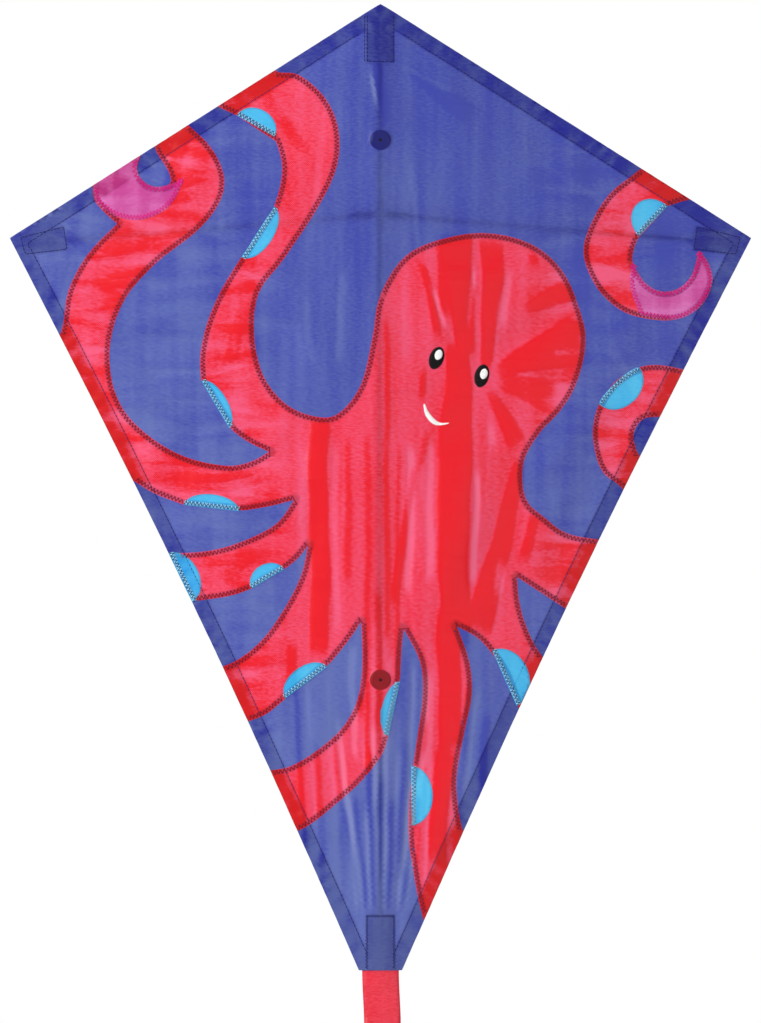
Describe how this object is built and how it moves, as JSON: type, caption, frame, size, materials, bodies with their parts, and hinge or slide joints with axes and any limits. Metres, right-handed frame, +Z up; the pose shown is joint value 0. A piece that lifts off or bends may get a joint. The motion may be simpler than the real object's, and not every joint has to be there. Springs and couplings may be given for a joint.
{
  "type": "diamond kite",
  "caption": "Framed diamond kite with an inlaid octopus, bridle holes on a spine, two flexing wings and a ribbon tail tied in a hank.",
  "frame": {"origin": "mouth of the upper bridle hole, on the sail's front and on the kite's centre line", "axes": "+X across the kite to the right wing as seen from the front, +Z up the spine to the nose, -Y out of the face"},
  "size_m": [0.5884, 0.0512, 0.9575],
  "materials": {
    "blue_cloth": "satin plain weave, translucent",
    "red_cloth": "satin plain weave, translucent",
    "magenta_cloth": "satin plain weave, translucent",
    "cyan_cloth": "satin plain weave",
    "dark_blue_cloth": "doubled cloth with a coated back",
    "black_thread": "dense satin stitch",
    "white_thread": "dense satin stitch",
    "red_ribbon": "woven ribbon",
    "rod": "pultruded glass fibre rod, lightly ground",
    "soft_vinyl": "soft moulded vinyl"
  },
  "bodies": {
    "spine": {"spine_rod": "rod", "spine_cap_nose": "soft_vinyl", "spine_cap_foot": "soft_vinyl", "centre_hub": "soft_vinyl", "nose_pocket": "dark_blue_cloth", "foot_pocket": "dark_blue_cloth", "bridle_patch_upper": "dark_blue_cloth", "bridle_patch_lower": "dark_blue_cloth"},
    "left_wing": {"sail_left": "blue_cloth", "octopus_left": "red_cloth", "arm_tip_left": "magenta_cloth", "sucker_inner_arm_top": "cyan_cloth", "sucker_inner_arm_middle": "cyan_cloth", "sucker_inner_arm_low": "cyan_cloth", "sucker_outer_arm": "cyan_cloth", "sucker_third_arm_edge": "cyan_cloth", "sucker_third_arm": "cyan_cloth", "sucker_fourth_arm": "cyan_cloth", "tip_pocket_left": "dark_blue_cloth", "half_spar_left": "rod", "spar_cap_left": "soft_vinyl", "spar_socket_left": "soft_vinyl"},
    "right_wing": {"sail_right": "blue_cloth", "octopus_right": "red_cloth", "upper_right_arm": "red_cloth", "middle_right_arm": "red_cloth", "arm_tip_right": "magenta_cloth", "sucker_fifth_arm": "cyan_cloth", "sucker_sixth_arm": "cyan_cloth", "sucker_seventh_arm": "cyan_cloth", "sucker_upper_right_arm": "cyan_cloth", "sucker_middle_right_arm": "cyan_cloth", "eye_left": "black_thread", "eye_right": "black_thread", "eye_glint_left": "white_thread", "eye_glint_right": "white_thread", "smile": "white_thread", "tip_pocket_right": "dark_blue_cloth", "half_spar_right": "rod", "spar_cap_right": "soft_vinyl", "spar_socket_right": "soft_vinyl"},
    "tail": {"tail_ribbon": "red_ribbon", "tail_hank": "red_ribbon", "tail_tie": "red_ribbon"}
  },
  "joints": [
    {"name": "left_wing_fold", "type": "hinge", "parent": "spine", "child": "left_wing", "pos_m": [0, 0.0035, 0], "axis": [0, 0, -1], "range_deg": [0, 35], "stiffness_Nm_per_rad": 0.1},
    {"name": "right_wing_fold", "type": "hinge", "parent": "spine", "child": "right_wing", "pos_m": [0, 0.0035, 0], "axis": [0, 0, 1], "range_deg": [0, 35], "stiffness_Nm_per_rad": 0.1},
    {"name": "tail_swing", "type": "hinge", "parent": "spine", "child": "tail", "pos_m": [0, 0.00085, -0.65525], "axis": [1, 0, 0], "range_deg": [-85, 85]}
  ]
}
